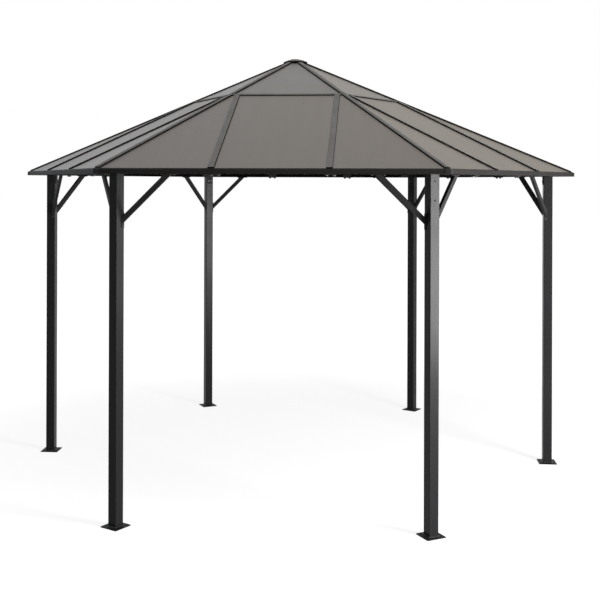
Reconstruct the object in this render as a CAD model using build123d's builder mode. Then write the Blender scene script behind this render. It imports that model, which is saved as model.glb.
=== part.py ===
"""Six-sided garden gazebo: tube posts on base plates, a ring of beams with knee braces,
and a hipped roof of plastic sheets clamped between rafters and battens.

The origin is on the ground below the apex, +Z is up, +X points at the right-hand post and
+Y at the back. Lengths are in millimetres, angles in degrees. Each repeated piece is made
once, facing +X, and turned to its places round the Z axis.
"""

import os
from math import atan, atan2, cos, degrees, radians, sin, tan

from build123d import *

# Plan, heights and roof pitch
SIDES = 6
POST_CIRCLE = 1905.0  # radius through the post centres
BEAM_UNDERSIDE = 2145.0  # clear height under the ring beams
EAVE_OVERHANG = 166.0  # from the beams' middle line out to the sheets' lower edge
ROOF_PITCH = 25.5  # slope of the six roof faces

# Posts and their base plates
POST_WIDTH = 65.0
POST_WALL = 2.0
POST_CORNER = 4.0
PLATE_MARGIN = 32.5  # base plate beyond each face of the post
PLATE_THICKNESS = 5.0
PLATE_CORNER = 5.0
ANCHOR_INSET = 22.5  # anchor hole from the plate's edges
ANCHOR_HOLE = 11.0  # diameter

# Ring beams between the posts
BEAM_DEPTH = 60.0
BEAM_WIDTH = 30.0
BEAM_WALL = 2.0

# Knee braces, at 45 degrees in the plane of each beam
BRACE_REACH = 280.0  # from the post's face to the brace's middle line, under the beam
BRACE_DEPTH = 33.0
BRACE_WIDTH = 20.0
FLANGE_OVERLAP = 24.0  # end flange beyond the brace, each way
FLANGE_THICKNESS = 3.0

# Roof sheets and the fins that part them
SHEET = 6.0  # thickness
FIN_WIDTH = 8.0
SHEET_CLEARANCE = 2.5  # beside a fin
TIP_SETBACK = 45.0  # upper sheet's cut-off tip, from the apex down the slope

# Rafters and purlins
RAFTER_WIDTH = 30.0
RAFTER_DEPTH = 36.0
RAFTER_WALL = 2.0
RAFTER_SEAT = 2.0  # depth of the jack rafters' seat cut at the beam's middle line
HIP_WIDTH = 40.0
HIP_SEAT = 10.0  # depth of the hip rafters' seat cut at the post's middle line
PURLIN_WIDTH = 30.0
PURLIN_DEPTH = 30.0

# Brackets that tie two beams to each post's head
BRACKET_WALL = 4.0
BRACKET_WING = 60.0  # along each beam, from the post's side
BRACKET_DROP = 4.0  # top of the bracket below the top of the beams
TONGUE_LENGTH = 62.0  # down the post, below the beams
TONGUE_WIDTH = 46.0
TONGUE_CORNER = 6.0

# Saddles that tie the jack rafters to the beams
SADDLE_LENGTH = 70.0
SADDLE_WALL = 4.0
SADDLE_HEIGHT = 34.0  # of its sides, up from the beam's underside

# Battens on the sheets
BATTEN_WIDTH = 40.0
BATTEN_HEIGHT = 10.0
BATTEN_BEVEL = 2.0
BATTEN_WALL = 2.0  # of all the battens, which are open below and closed at the eave
HIP_CAP_WIDTH = 40.0
HIP_CAP_HEIGHT = 10.0
STRIP_WIDTH = 26.0
STRIP_HEIGHT = 7.0
STRIP_BEVEL = 1.5
BATTEN_CLEARANCE = 0.5  # between butting battens
CORNER_CLEARANCE = 8.0  # between a seam batten's head and the hip cap

# Eave trim and its corner caps
FASCIA_DEPTH = 24.0
TRIM_WALL = 2.5
TRIM_LIP = 14.0  # over the sheets, measured level
TRIM_RETURN = 18.0  # below the rafter tails, measured level
MITRE_GAP = 2.0
CORNER_WING = 30.0
CORNER_WALL = 2.5

# Apex hub and cap
HUB_MARGIN = 20.0  # hub beyond the point where the hip rafters would meet
HUB_CLEARANCE = 0.3  # below the sheets
CAP_HEAD_GAP = 10.0  # hip caps' heads from the point where they would meet
APEX_CAP_LAP = 47.0  # apex cap over the hip caps
APEX_CAP_RIM = 10.0
APEX_CAP_SHOULDER_SHARE = 0.62  # where the cap's slope eases, as a share of the cap
APEX_CAP_CROWN_SHARE = 0.3  # flat top, as a share of the cap
APEX_CAP_EASE_SHARE = 0.5  # slope above the shoulder, as a share of the hips' pitch

# Names, counter-clockwise from +X
POST_NAMES = ["right", "back_right", "back_left", "left", "front_left", "front_right"]
SIDE_NAMES = ["right_back", "back", "left_back", "left_front", "front", "right_front"]
HALF_STEP = 0.5  # the sides lie half a step on from the posts

# Roof geometry
turn = 360.0 / SIDES
half_turn = radians(turn / 2)
pitch = radians(ROOF_PITCH)
hip_pitch = atan(tan(pitch) * cos(half_turn))
# Fall of the sheets to each side of a hip, seen along the hip
hip_upright = sin(pitch) * cos(half_turn) * sin(hip_pitch) + cos(pitch) * cos(hip_pitch)
hip_fall = atan(sin(pitch) * sin(half_turn) / hip_upright)

post_apothem = POST_CIRCLE * cos(half_turn)
beam_top = BEAM_UNDERSIDE + BEAM_DEPTH
eave_apothem = post_apothem + EAVE_OVERHANG
eave_circle = eave_apothem / cos(half_turn)
eave_side = 2 * eave_apothem * tan(half_turn)
slope_length = eave_apothem / cos(pitch)
# Taper of a roof face from its middle line to a hip, measured on the slope
hip_splay = atan(eave_side / 2 / slope_length)

sheet_over_beam = beam_top - RAFTER_SEAT + (RAFTER_DEPTH + SHEET) / cos(pitch)
eave_height = sheet_over_beam - EAVE_OVERHANG * tan(pitch)
apex_height = eave_height + eave_apothem * tan(pitch)
lip_top = eave_height - FASCIA_DEPTH + TRIM_WALL

hip_depth = (sheet_over_beam - beam_top + HIP_SEAT) * cos(hip_pitch)
sheet_gap = FIN_WIDTH / 2 + SHEET_CLEARANCE
hip_setback = (sheet_gap + SHEET * sin(hip_fall)) / cos(hip_fall)
hub_apothem = HIP_WIDTH / 2 / tan(half_turn) + HUB_MARGIN
hip_cap_inner = HIP_CAP_WIDTH / 2 / tan(half_turn) + CAP_HEAD_GAP
apex_cap_circle = hip_cap_inner + APEX_CAP_LAP
seam_offset = eave_side / 6
batten_start = TRIM_LIP / cos(pitch) + BATTEN_CLEARANCE
# The purlins lie where the seam battens reach the hip caps
seam_width = max(BATTEN_WIDTH, RAFTER_WIDTH)
hip_band = max(HIP_CAP_WIDTH, HIP_WIDTH)
purlin_half_run = seam_offset + seam_width / 2 + CORNER_CLEARANCE + hip_band / 2 / cos(hip_splay)
purlin_place = slope_length * (1 - 2 * purlin_half_run / eave_side)

# Planes of the canonical roof face, post and hip
slope = Plane((eave_apothem, 0, eave_height), x_dir=(0, 1, 0), z_dir=(sin(pitch), 0, cos(pitch)))
eave_section = Plane((eave_apothem, 0, eave_height), x_dir=(1, 0, 0), z_dir=(0, -1, 0))
beam_section = Plane((post_apothem, 0, BEAM_UNDERSIDE), x_dir=(1, 0, 0), z_dir=(0, -1, 0))
hip_section = Plane(
    (eave_circle, 0, eave_height), x_dir=(0, -1, 0), z_dir=(-cos(hip_pitch), 0, sin(hip_pitch))
)


def up_slope_section(distance):
    """Plane across a roof face's slope, that far up it, with its Y axis along the face's normal."""
    return Plane(slope.from_local_coords((0, distance, 0)), x_dir=-slope.x_dir, z_dir=slope.y_dir)


def along_eave_section(distance):
    """Plane across the eave direction at that place on the slope, X up the slope, Y along the normal."""
    return Plane(slope.from_local_coords((0, distance, 0)), x_dir=slope.y_dir, z_dir=slope.x_dir)


def fascia_plane(side, inset=0.0):
    """Upright plane on a fascia's inner face beside a corner at +X, facing inwards."""
    outward = Vector(cos(half_turn), side * sin(half_turn), 0)
    return Plane(outward * (eave_apothem - inset), z_dir=-outward)


def hip_side_plane(side, offset):
    """Upright plane beside the hip at one end of the canonical face, facing the face's middle."""
    inward = Vector(sin(half_turn), -side * cos(half_turn), 0)
    return Plane(inward * offset, z_dir=inward)


def post_side_plane(side):
    """Post face that a beam of the canonical side butts against, facing along the beam."""
    centre = Vector(post_apothem, side * POST_CIRCLE * sin(half_turn), 0)
    along = Vector(sin(half_turn), -side * cos(half_turn), 0)
    return Plane(centre + along * (POST_WIDTH / 2), z_dir=along)


def half_width(distance, setback):
    """Half the width of a roof face that far up the slope, less a setback square to the hips."""
    return eave_side / 2 * (1 - distance / slope_length) - setback / cos(hip_splay)


def ridged_outline(half, height):
    """Corners of a ridged batten's outline, which falls to each side of the hip as the sheets do."""
    crown_half = half - height * BATTEN_BEVEL / HIP_CAP_HEIGHT
    foot_fall = half * tan(hip_fall)
    shoulder = height - crown_half * tan(hip_fall)
    right = [(half, -foot_fall), (crown_half, shoulder)]
    left = [(-crown_half, shoulder), (-half, -foot_fall)]
    return [(0, 0), *right, (0, height), *left]


def turned(piece, steps):
    """A copy of a canonical piece, turned by that many sixths about the Z axis."""
    with BuildPart() as copy:
        with Locations(Rotation(0, 0, steps * turn)):
            add(piece)
    return copy.part


def ring(piece, first=0.0):
    """All the copies of a canonical piece round the Z axis, as one node's solids."""
    with BuildPart() as copies:
        with PolarLocations(0, SIDES, start_angle=first * turn):
            add(piece)
    return copies.part


def save(piece, name):
    """Labels a finished piece and writes its STEP file."""
    piece.label = name
    export_step(piece, f"parts/{name}.step")


# Post: a square tube from the base plate to the top of the beams
with BuildPart() as post:
    with BuildSketch(Plane.XY.offset(PLATE_THICKNESS)):
        with Locations((POST_CIRCLE, 0)):
            RectangleRounded(POST_WIDTH, POST_WIDTH, POST_CORNER)
            Rectangle(POST_WIDTH - 2 * POST_WALL, POST_WIDTH - 2 * POST_WALL, mode=Mode.SUBTRACT)
    extrude(amount=beam_top - PLATE_THICKNESS)

# Base plate with an anchor hole in each corner
plate_width = POST_WIDTH + 2 * PLATE_MARGIN
anchor_spacing = plate_width - 2 * ANCHOR_INSET
with BuildPart() as base_plate:
    with BuildSketch():
        with Locations((POST_CIRCLE, 0)):
            RectangleRounded(plate_width, plate_width, PLATE_CORNER)
            with GridLocations(anchor_spacing, anchor_spacing, 2, 2):
                Circle(ANCHOR_HOLE / 2, mode=Mode.SUBTRACT)
    extrude(amount=PLATE_THICKNESS)

# Ring beam: a tube mitred against the side faces of two posts
with BuildPart() as ring_beam:
    with BuildSketch(beam_section):
        with Locations((0, BEAM_DEPTH / 2)):
            Rectangle(BEAM_WIDTH, BEAM_DEPTH)
            Rectangle(BEAM_WIDTH - 2 * BEAM_WALL, BEAM_DEPTH - 2 * BEAM_WALL, mode=Mode.SUBTRACT)
    extrude(amount=POST_CIRCLE / 2, both=True)
    for end in (1, -1):
        split(bisect_by=post_side_plane(end), keep=Keep.TOP)

# Knee braces: a pair at each post, with a welded flange at each end
beam_line = Vector(-sin(half_turn), cos(half_turn), 0)
post_centre = Vector(POST_CIRCLE, 0, 0)
brace_axis = (beam_line + Vector(0, 0, 1)).normalized()
brace_across = beam_line.cross(Vector(0, 0, 1))
post_face_run = POST_WIDTH / 2 / cos(half_turn)
brace_run = post_face_run + BRACE_REACH
brace_head = post_centre + beam_line * brace_run + Vector(0, 0, BEAM_UNDERSIDE)
brace_foot = brace_head - (beam_line + Vector(0, 0, 1)) * BRACE_REACH
flange_length = BRACE_DEPTH / sin(radians(45)) + 2 * FLANGE_OVERLAP
with BuildPart() as knee_braces:
    with BuildSketch(Plane(brace_head, x_dir=brace_across, z_dir=-brace_axis)):
        Rectangle(BRACE_WIDTH, BRACE_DEPTH)
    extrude(amount=(brace_head - brace_foot).length + POST_WIDTH, both=True)
    split(bisect_by=Plane.XY.offset(BEAM_UNDERSIDE), keep=Keep.BOTTOM)
    split(bisect_by=Plane((0, POST_WIDTH / 2, 0), z_dir=(0, 1, 0)), keep=Keep.TOP)
    with BuildSketch(Plane(brace_foot, x_dir=(1, 0, 0), z_dir=(0, 1, 0))):
        Rectangle(BRACE_WIDTH / cos(half_turn), flange_length)
    extrude(amount=FLANGE_THICKNESS)
    with BuildSketch(Plane(brace_head, x_dir=beam_line, z_dir=(0, 0, -1))):
        Rectangle(flange_length, BRACE_WIDTH)
    extrude(amount=FLANGE_THICKNESS)
    mirror(about=Plane.XZ)

# Roof sheets of one face: a middle one, one to each side of it and one above
lower_edge = purlin_place - sheet_gap
upper_edge = purlin_place + sheet_gap
tip_edge = slope_length - TIP_SETBACK
with BuildPart() as roof_sheets:
    with BuildSketch(slope):
        with Locations((0, lower_edge / 2)):
            Rectangle(2 * (seam_offset - sheet_gap), lower_edge)
        for side in (1, -1):
            Polygon(
                (side * (seam_offset + sheet_gap), 0),
                (side * half_width(0, hip_setback), 0),
                (side * half_width(lower_edge, hip_setback), lower_edge),
                (side * (seam_offset + sheet_gap), lower_edge),
                align=None,
            )
        Polygon(
            (half_width(upper_edge, hip_setback), upper_edge),
            (half_width(tip_edge, hip_setback), tip_edge),
            (-half_width(tip_edge, hip_setback), tip_edge),
            (-half_width(upper_edge, hip_setback), upper_edge),
            align=None,
        )
    extrude(amount=-SHEET)

# Jack rafters of one face: finned tubes with a seat over the beam and a tail in the eave trim
rafter_bore = (RAFTER_WIDTH - 2 * RAFTER_WALL, RAFTER_DEPTH - 2 * RAFTER_WALL)
with BuildPart() as jack_rafters:
    with BuildSketch(up_slope_section(-RAFTER_DEPTH)):
        with Locations((-seam_offset, 0), (seam_offset, 0)):
            with Locations((0, -SHEET / 2)):
                Rectangle(FIN_WIDTH, SHEET)
            with Locations((0, -SHEET - RAFTER_DEPTH / 2)):
                Rectangle(RAFTER_WIDTH, RAFTER_DEPTH)
                Rectangle(*rafter_bore, mode=Mode.SUBTRACT)
    extrude(amount=RAFTER_DEPTH + purlin_place - PURLIN_WIDTH / 2)
    split(bisect_by=Plane((eave_apothem, 0, 0), z_dir=(-1, 0, 0)), keep=Keep.TOP)
    split(bisect_by=Plane.XY.offset(lip_top), keep=Keep.TOP)
    with BuildSketch(Plane((post_apothem, 0, BEAM_UNDERSIDE))):
        Rectangle(BEAM_WIDTH, eave_side)
    extrude(amount=BEAM_DEPTH, mode=Mode.SUBTRACT)

# Purlin: a finned tube between two hip rafters, under the joint of the sheets
purlin_bore = (PURLIN_WIDTH - 2 * RAFTER_WALL, PURLIN_DEPTH - 2 * RAFTER_WALL)
with BuildPart() as purlin:
    with BuildSketch(along_eave_section(purlin_place)):
        with Locations((0, -SHEET / 2)):
            Rectangle(FIN_WIDTH, SHEET)
        with Locations((0, -SHEET - PURLIN_DEPTH / 2)):
            Rectangle(PURLIN_WIDTH, PURLIN_DEPTH)
            Rectangle(*purlin_bore, mode=Mode.SUBTRACT)
    extrude(amount=eave_side / 2, both=True)
    for end in (1, -1):
        split(bisect_by=hip_side_plane(end, HIP_WIDTH / 2), keep=Keep.TOP)

# Hip rafter: a finned tube whose shoulders fall with the sheets on either side
fin_half = FIN_WIDTH / 2
hip_half = HIP_WIDTH / 2
fin_fall = fin_half * tan(hip_fall)
shoulder_fall = hip_half * tan(hip_fall) + SHEET / cos(hip_fall)
hip_length = eave_circle / cos(hip_pitch)
hip_bore = (HIP_WIDTH - 2 * RAFTER_WALL, hip_depth - shoulder_fall - 2 * RAFTER_WALL)
with BuildPart() as hip_rafter:
    with BuildSketch(hip_section.offset(-hip_depth)):
        with BuildLine():
            Polyline(
                (0, 0),
                (fin_half, -fin_fall),
                (fin_half, -fin_fall - SHEET / cos(hip_fall)),
                (hip_half, -shoulder_fall),
                (hip_half, -hip_depth),
                (0, -hip_depth),
            )
            mirror(about=Plane.YZ)
        make_face()
        with Locations((0, -(hip_depth + shoulder_fall) / 2)):
            Rectangle(*hip_bore, mode=Mode.SUBTRACT)
    extrude(amount=hip_depth + hip_length)
    for side in (1, -1):
        split(bisect_by=fascia_plane(side), keep=Keep.TOP)
    split(bisect_by=Plane.XY.offset(lip_top), keep=Keep.TOP)
    split(bisect_by=Plane((hub_apothem, 0, 0), z_dir=(1, 0, 0)), keep=Keep.TOP)
    with BuildSketch(Plane.XY.offset(BEAM_UNDERSIDE)):
        with Locations((POST_CIRCLE, 0)):
            Rectangle(POST_WIDTH, POST_WIDTH)
    extrude(amount=BEAM_DEPTH, mode=Mode.SUBTRACT)

# Head bracket: a bent plate on a post's inner face, with a wing along each beam and a tongue below
beam_inward = Vector(-cos(half_turn), -sin(half_turn))
wing_start = (POST_WIDTH / 2 + BEAM_WIDTH / 2 * sin(half_turn)) / cos(half_turn)
wing_root = beam_inward * (BEAM_WIDTH / 2) + beam_line * wing_start
wing_end = wing_root + beam_line * BRACKET_WING
plate_face = POST_WIDTH / 2 + BRACKET_WALL
bend_run = (plate_face - (BEAM_WIDTH / 2 + BRACKET_WALL) * cos(half_turn)) / sin(half_turn)
bend = beam_inward * (BEAM_WIDTH / 2 + BRACKET_WALL) + beam_line * bend_run
post_inner_face = Plane(
    (POST_CIRCLE - POST_WIDTH / 2, 0, BEAM_UNDERSIDE), x_dir=(0, -1, 0), z_dir=(-1, 0, 0)
)
with BuildPart() as head_bracket:
    with BuildSketch(Plane((POST_CIRCLE, 0, BEAM_UNDERSIDE))):
        with BuildLine():
            Polyline(
                (-POST_WIDTH / 2, 0),
                (-POST_WIDTH / 2, POST_WIDTH / 2),
                wing_root,
                wing_end,
                wing_end + beam_inward * BRACKET_WALL,
                bend,
                (-plate_face, 0),
            )
            mirror(about=Plane.XZ)
        make_face()
    extrude(amount=BEAM_DEPTH - BRACKET_DROP)
    with BuildSketch(post_inner_face) as tongue:
        with Locations((0, -TONGUE_LENGTH / 2)):
            Rectangle(TONGUE_WIDTH, TONGUE_LENGTH)
        fillet(tongue.vertices().group_by(Axis.Y)[0], TONGUE_CORNER)
    extrude(amount=BRACKET_WALL)

# Saddles of one side: straps round the beam under the jack rafters
with BuildPart() as saddles:
    for place in (seam_offset, -seam_offset):
        with BuildSketch(beam_section.offset(place)):
            with Locations((0, (SADDLE_HEIGHT - SADDLE_WALL) / 2)):
                Rectangle(BEAM_WIDTH + 2 * SADDLE_WALL, SADDLE_HEIGHT + SADDLE_WALL)
            with Locations((0, SADDLE_HEIGHT / 2)):
                Rectangle(BEAM_WIDTH, SADDLE_HEIGHT, mode=Mode.SUBTRACT)
        extrude(amount=SADDLE_LENGTH / 2, both=True)

# Seam battens of one face, from the eave trim, where they are closed, up to the joint strip
batten_angle = degrees(atan2(BATTEN_HEIGHT, BATTEN_BEVEL))
batten_bore = (BATTEN_WIDTH - 2 * BATTEN_WALL, BATTEN_HEIGHT - BATTEN_WALL)
batten_end = purlin_place - STRIP_WIDTH / 2 - BATTEN_CLEARANCE
with BuildPart() as seam_battens:
    with BuildSketch(up_slope_section(batten_start)):
        with Locations((-seam_offset, 0), (seam_offset, 0)):
            with Locations((0, BATTEN_HEIGHT / 2)):
                Trapezoid(BATTEN_WIDTH, BATTEN_HEIGHT, batten_angle)
    extrude(amount=batten_end - batten_start)
    with BuildSketch(up_slope_section(batten_start + BATTEN_WALL)):
        with Locations((-seam_offset, 0), (seam_offset, 0)):
            with Locations((0, (BATTEN_HEIGHT - BATTEN_WALL) / 2)):
                Trapezoid(*batten_bore, batten_angle)
    extrude(amount=batten_end - batten_start, mode=Mode.SUBTRACT)

# Joint strip between the lower and upper sheets, from hip cap to hip cap
strip_angle = degrees(atan2(STRIP_HEIGHT, STRIP_BEVEL))
strip_bore = (STRIP_WIDTH - 2 * BATTEN_WALL, STRIP_HEIGHT - BATTEN_WALL)
with BuildPart() as joint_strip:
    with BuildSketch(along_eave_section(purlin_place)):
        with Locations((0, STRIP_HEIGHT / 2)):
            Trapezoid(STRIP_WIDTH, STRIP_HEIGHT, strip_angle)
        with Locations((0, (STRIP_HEIGHT - BATTEN_WALL) / 2)):
            Trapezoid(*strip_bore, strip_angle, mode=Mode.SUBTRACT)
    extrude(amount=eave_side / 2, both=True)
    for end in (1, -1):
        split(bisect_by=hip_side_plane(end, HIP_CAP_WIDTH / 2 + BATTEN_CLEARANCE), keep=Keep.TOP)

# Hip cap: a ridged batten that lies on the sheets of two faces, from the eave to the apex cap
cap_outline = ridged_outline(HIP_CAP_WIDTH / 2, HIP_CAP_HEIGHT)
cap_bore = ridged_outline(HIP_CAP_WIDTH / 2 - BATTEN_WALL, HIP_CAP_HEIGHT - BATTEN_WALL)
cap_foot = TRIM_LIP + BATTEN_CLEARANCE
with BuildPart() as hip_cap_hollow:
    with BuildSketch(hip_section):
        Polygon(*cap_bore, align=None)
    extrude(amount=hip_length)
    for side in (1, -1):
        split(bisect_by=fascia_plane(side, cap_foot + BATTEN_WALL), keep=Keep.TOP)
with BuildPart() as hip_cap:
    with BuildSketch(hip_section):
        Polygon(*cap_outline, align=None)
    extrude(amount=hip_length)
    for side in (1, -1):
        split(bisect_by=fascia_plane(side, cap_foot), keep=Keep.TOP)
    split(bisect_by=Plane((hip_cap_inner, 0, 0), z_dir=(1, 0, 0)), keep=Keep.TOP)
    add(hip_cap_hollow.part, mode=Mode.SUBTRACT)

# Eave trim: a fascia with a lip over the sheets and a return under the rafter tails
fascia_top = TRIM_WALL / cos(pitch) - TRIM_WALL * tan(pitch)
with BuildPart() as eave_trim:
    with BuildSketch(eave_section):
        Polygon(
            (0, 0),
            (-TRIM_LIP, TRIM_LIP * tan(pitch)),
            (TRIM_WALL * sin(pitch) - TRIM_LIP, TRIM_LIP * tan(pitch) + TRIM_WALL * cos(pitch)),
            (TRIM_WALL, fascia_top),
            (TRIM_WALL, -FASCIA_DEPTH),
            (-TRIM_RETURN, -FASCIA_DEPTH),
            (-TRIM_RETURN, TRIM_WALL - FASCIA_DEPTH),
            (0, TRIM_WALL - FASCIA_DEPTH),
            align=None,
        )
    extrude(amount=eave_side, both=True)
    for end in (1, -1):
        split(bisect_by=hip_side_plane(end, MITRE_GAP / 2), keep=Keep.TOP)

# Half of a corner cap's hood, over the lip at one end of the canonical face
hood_reach = (TRIM_WALL + CORNER_WALL) * (1 - sin(pitch))
hood_low = -hood_reach / cos(pitch)
hood_high = TRIM_LIP / cos(pitch)
with BuildPart() as half_hood:
    with BuildSketch(slope.offset(TRIM_WALL)):
        with Locations((eave_side / 2, (hood_low + hood_high) / 2)):
            Rectangle(2 * CORNER_WING, hood_high - hood_low)
    extrude(amount=CORNER_WALL)
    split(bisect_by=hip_side_plane(1, 0), keep=Keep.TOP)

# Corner cap: an angle round the fascias' mitre, under the hood
fascia_corner = Vector((eave_apothem + TRIM_WALL) / cos(half_turn), 0)
cap_corner = Vector((eave_apothem + TRIM_WALL + CORNER_WALL) / cos(half_turn), 0)
wing_tip = fascia_corner + Vector(-sin(half_turn), cos(half_turn)) * CORNER_WING
wing_outer = wing_tip + Vector(cos(half_turn), sin(half_turn)) * CORNER_WALL
with BuildPart() as corner_cap:
    with BuildSketch(Plane.XY.offset(eave_height - FASCIA_DEPTH)):
        with BuildLine():
            Polyline(fascia_corner, wing_tip, wing_outer, cap_corner)
            mirror(about=Plane.XZ)
        make_face()
    extrude(amount=FASCIA_DEPTH + fascia_top)
    add(turned(half_hood.part, -HALF_STEP))
    mirror(about=Plane.XZ)

# Apex hub: a six-sided block, with a face for each hip rafter's head
hub_bottom = apex_height - hub_apothem * tan(hip_pitch) - hip_depth / cos(hip_pitch)
hub_top = apex_height - SHEET / cos(pitch) - hub_apothem / cos(half_turn) * tan(pitch) - HUB_CLEARANCE
with BuildPart() as apex_hub:
    with BuildSketch(Plane.XY.offset(hub_bottom)):
        RegularPolygon(hub_apothem, SIDES, major_radius=False, rotation=turn / 2)
    extrude(amount=hub_top - hub_bottom)

# Apex cap: a low hollow dome of two slopes, which lies on the ridges of the hip caps
apex_cap_peak = apex_height + HIP_CAP_HEIGHT / cos(hip_pitch)
rim_height = apex_cap_peak - apex_cap_circle * tan(hip_pitch)
rim_top = rim_height + APEX_CAP_RIM
cap_shoulder = apex_cap_circle * APEX_CAP_SHOULDER_SHARE
cap_crown = apex_cap_circle * APEX_CAP_CROWN_SHARE
slope_taper = 90 - ROOF_PITCH
crown_taper = 90 - ROOF_PITCH * APEX_CAP_EASE_SHARE
shoulder_rise = (apex_cap_circle - cap_shoulder) * tan(hip_pitch)
crown_rise = (cap_shoulder - cap_crown) * cos(half_turn) / tan(radians(crown_taper))
hollow_rise = (apex_cap_circle - hip_cap_inner + BATTEN_CLEARANCE) * tan(hip_pitch)
with BuildPart() as apex_cap:
    with BuildSketch(Plane.XY.offset(rim_height)):
        RegularPolygon(apex_cap_circle, SIDES)
    extrude(amount=APEX_CAP_RIM)
    with BuildSketch(Plane.XY.offset(rim_top)):
        RegularPolygon(apex_cap_circle, SIDES)
    extrude(amount=shoulder_rise, taper=slope_taper)
    with BuildSketch(Plane.XY.offset(rim_top + shoulder_rise)):
        RegularPolygon(cap_shoulder, SIDES)
    extrude(amount=crown_rise, taper=crown_taper)
    with BuildSketch(Plane.XY.offset(rim_height)):
        RegularPolygon(apex_cap_circle, SIDES)
    extrude(amount=hollow_rise, taper=slope_taper, mode=Mode.SUBTRACT)

os.makedirs("parts", exist_ok=True)
for step, name in enumerate(POST_NAMES):
    save(turned(post.part, step), f"post_{name}")
    save(turned(base_plate.part, step), f"base_plate_{name}")
    save(turned(knee_braces.part, step), f"knee_braces_{name}")
for step, name in enumerate(SIDE_NAMES):
    save(turned(ring_beam.part, step + HALF_STEP), f"ring_beam_{name}")
    save(turned(roof_sheets.part, step + HALF_STEP), f"roof_sheets_{name}")
    save(turned(eave_trim.part, step + HALF_STEP), f"eave_trim_{name}")
save(ring(hip_rafter.part), "hip_rafters")
save(ring(jack_rafters.part, HALF_STEP), "jack_rafters")
save(ring(purlin.part, HALF_STEP), "purlins")
save(ring(saddles.part, HALF_STEP), "rafter_saddles")
save(ring(head_bracket.part), "head_brackets")
save(ring(hip_cap.part), "hip_caps")
save(ring(seam_battens.part, HALF_STEP), "seam_battens")
save(ring(joint_strip.part, HALF_STEP), "joint_strips")
save(ring(corner_cap.part), "eave_corner_caps")
save(apex_hub.part, "apex_hub")
save(apex_cap.part, "apex_cap")
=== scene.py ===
"""Looks of a six-sided garden gazebo: its finishes, small fixings, studio and camera.

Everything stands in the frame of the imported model, in metres, with +Z up and +Y to the back.
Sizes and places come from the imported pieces, and each small fixing is modelled once, with its
foot at the origin and its head along +Z, then copied to its seats.
"""

import logging
import math
from dataclasses import dataclass, replace
from enum import Enum
from typing import Callable, Iterable, Iterator, Sequence

import bpy
from mathutils import Matrix, Vector
from mathutils.bvhtree import BVHTree


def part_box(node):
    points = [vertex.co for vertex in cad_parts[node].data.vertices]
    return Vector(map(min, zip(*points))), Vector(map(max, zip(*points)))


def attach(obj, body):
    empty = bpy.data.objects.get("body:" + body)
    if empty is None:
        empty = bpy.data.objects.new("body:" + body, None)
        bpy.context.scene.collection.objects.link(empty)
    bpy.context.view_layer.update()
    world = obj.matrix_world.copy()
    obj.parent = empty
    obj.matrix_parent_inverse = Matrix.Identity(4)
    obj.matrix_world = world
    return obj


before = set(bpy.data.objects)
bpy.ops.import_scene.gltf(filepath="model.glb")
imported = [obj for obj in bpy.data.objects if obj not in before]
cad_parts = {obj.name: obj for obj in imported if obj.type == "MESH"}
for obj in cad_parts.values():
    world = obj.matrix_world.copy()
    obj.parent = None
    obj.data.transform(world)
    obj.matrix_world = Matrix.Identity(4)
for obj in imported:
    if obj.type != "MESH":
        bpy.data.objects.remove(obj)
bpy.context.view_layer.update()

LOG = logging.getLogger("gazebo")
BODY = "root"
SIDES = 6
STEP = 2 * math.pi / SIDES
MID_SIDE = 0.5
QUARTER = math.pi / 2
RISE = Vector((0.0, 0.0, 1.0))
TOLERANCE = 1e-4
SMOOTH_ANGLE = math.radians(40.0)

POSTS = ("right", "back_right", "back_left", "left", "front_left", "front_right")
FACES = ("right_back", "back", "left_back", "left_front", "front", "right_front")
SHEETS = tuple(f"roof_sheets_{name}" for name in FACES)
BEAMS = tuple(f"ring_beam_{name}" for name in FACES)

Socket = bpy.types.NodeSocket
Colour = tuple[float, float, float]
WHITE: Colour = (1.0, 1.0, 1.0)
NONE_TO_ALL = (0.0, 1.0)


class Slot(Enum):
    """The record's material slots that the added pieces belong to."""

    POST = "post_coat"
    BRACE = "brace_coat"
    BATTEN = "batten_coat"
    CORNER = "corner_plastic"


class PostFace(Enum):
    """The faces of a post, in quarter turns from the outer one."""

    OUTER = 0
    LEFT = 1
    INNER = 2
    RIGHT = -1


# Seats on the gazebo


@dataclass(frozen=True)
class Seat:
    """A place on the gazebo with its own axes.

    Args:
        origin: Where local zero lies.
        across: Local X.
        up: Local Y.
        out: Local Z, away from the surface.
    """

    origin: Vector
    across: Vector
    up: Vector
    out: Vector

    def point(self, across: float, up: float, out: float) -> Vector:
        """Gives a local point in the frame's measures."""
        return self.origin + self.across * across + self.up * up + self.out * out

    def matrix(self) -> Matrix:
        """Gives the placing that takes a piece from the origin to this seat."""
        turn = Matrix((self.across, self.up, self.out)).transposed().to_4x4()
        return Matrix.Translation(self.origin) @ turn

    def local(self, point: Vector) -> Vector:
        """Gives a point of the frame in local measures."""
        offset = point - self.origin
        return Vector((offset.dot(self.across), offset.dot(self.up), offset.dot(self.out)))


def facing(origin: Vector, up: Vector, out: Vector) -> Seat:
    """Makes a seat from the directions of its Y and Z axes."""
    return Seat(origin, up.cross(out), up, out)


def heading_of(turns: float) -> Vector:
    """Gives the level direction that many sixths of a turn from +X."""
    return Vector((math.cos(turns * STEP), math.sin(turns * STEP), 0.0))


def slope(outward: Vector, pitch: float) -> tuple[Vector, Vector]:
    """Gives the directions up a slope and out of it, from its level outward direction."""
    up = RISE * math.sin(pitch) - outward * math.cos(pitch)
    return up, RISE * math.cos(pitch) + outward * math.sin(pitch)


def in_plus_half(point: Vector) -> bool:
    """Tells whether a local point lies on its seat's +X side."""
    return point.x > 0


def in_minus_half(point: Vector) -> bool:
    """Tells whether a local point lies on its seat's -X side."""
    return point.x < 0


BOTH_HALVES = (in_plus_half, in_minus_half)


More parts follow.
